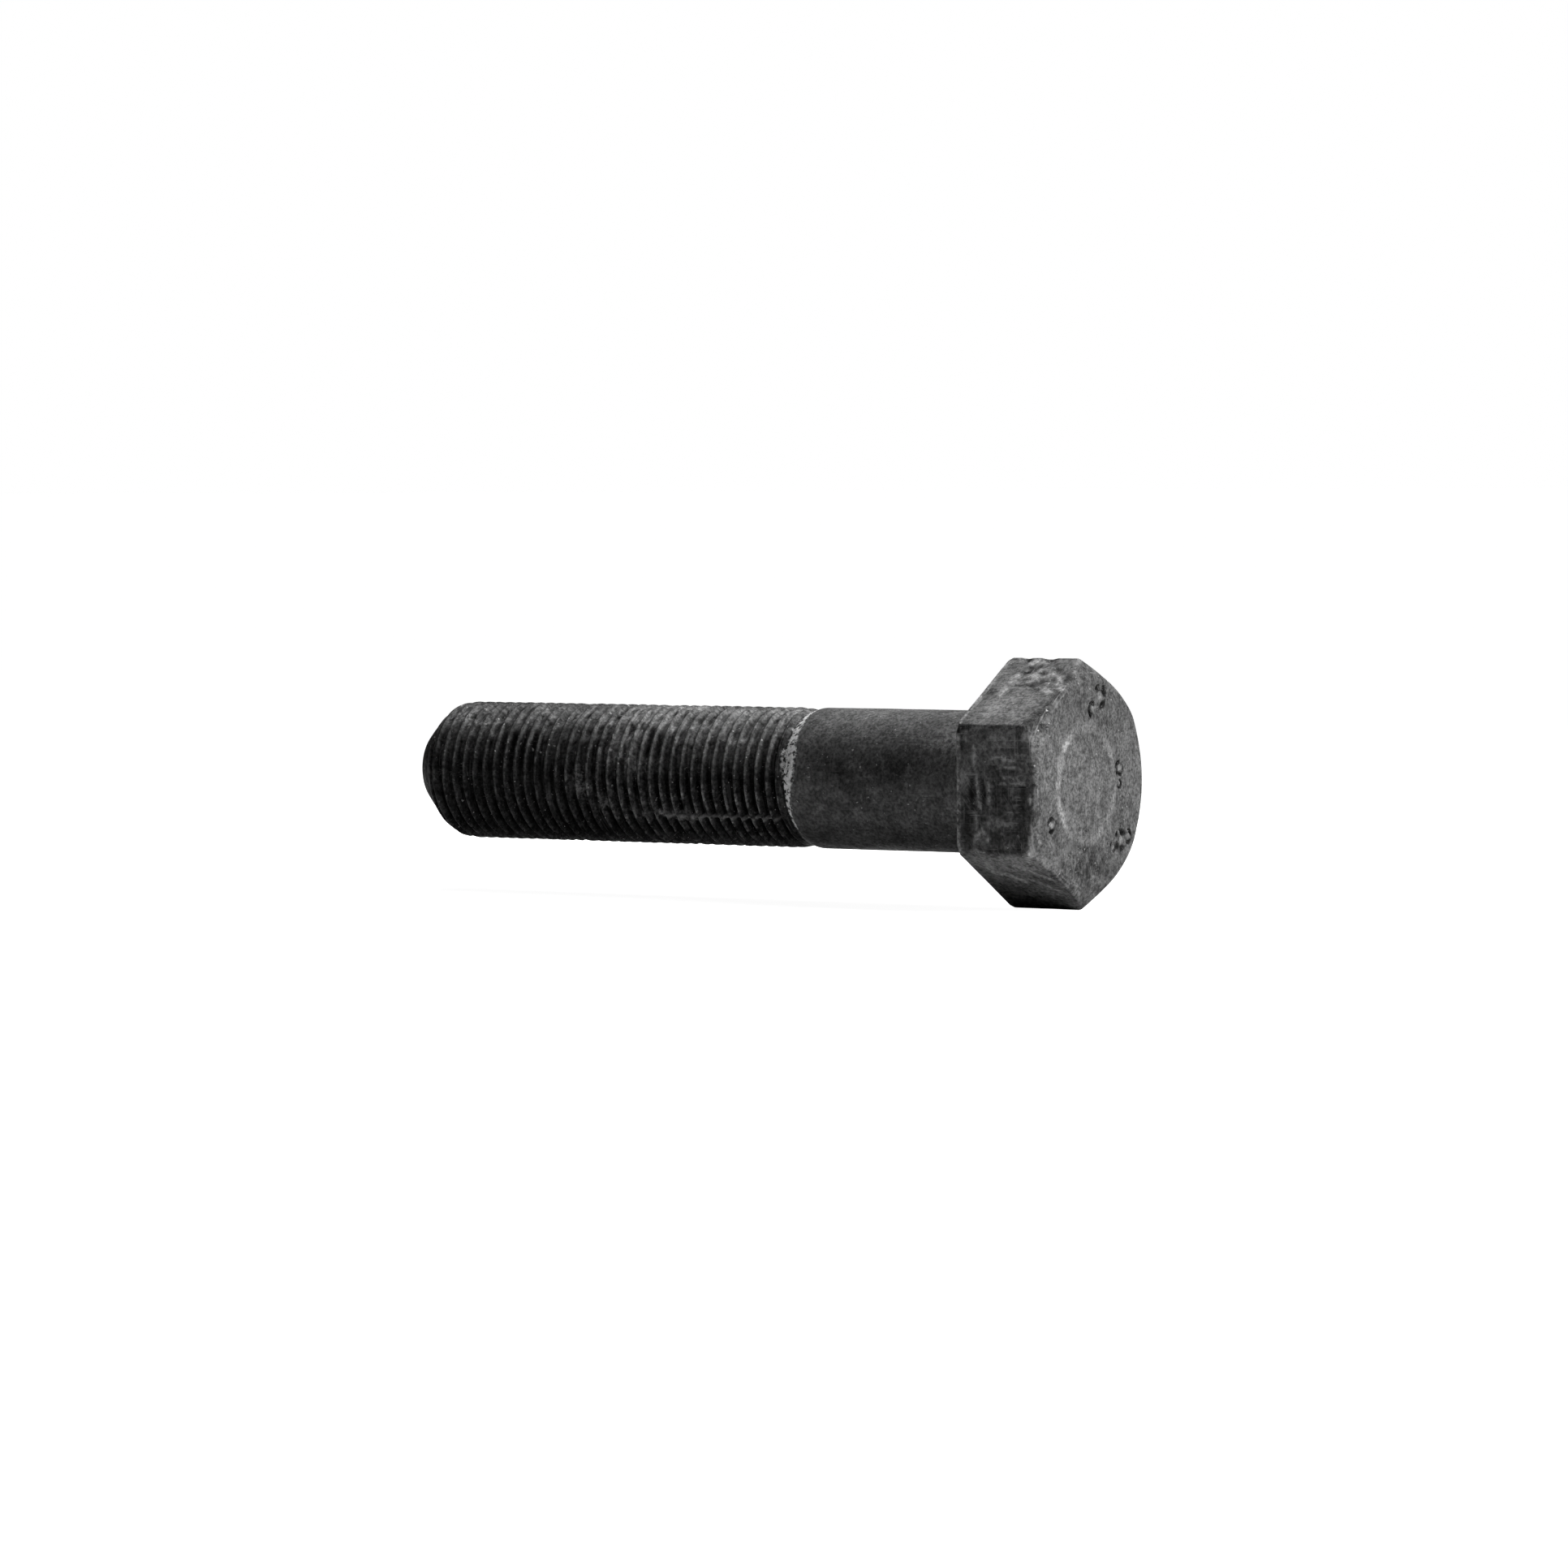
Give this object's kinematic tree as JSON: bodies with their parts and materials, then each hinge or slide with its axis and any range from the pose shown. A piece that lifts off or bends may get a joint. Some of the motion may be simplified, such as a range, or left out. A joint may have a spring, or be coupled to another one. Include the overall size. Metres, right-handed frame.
{
  "type": "hex bolt",
  "caption": "Partly threaded hexagon head bolt in black steel, with a plain body, a fine thread and a pointed end.",
  "frame": {"origin": "on the bolt's axis, in the plane of the bearing face under the head", "axes": "+X along the axis towards the head, -X towards the threaded end; two corners of the hexagon lie on +Z and -Z, and two flats face +Y and -Y"},
  "size_m": [0.0861, 0.0238, 0.0274],
  "materials": {
    "black_steel": "black oxide on forged and rolled steel, semi-matt, speckled, with light wear on edges, crests and the run-out"
  },
  "bodies": {
    "root": {"hex_bolt": "black_steel"}
  },
  "joints": []
}
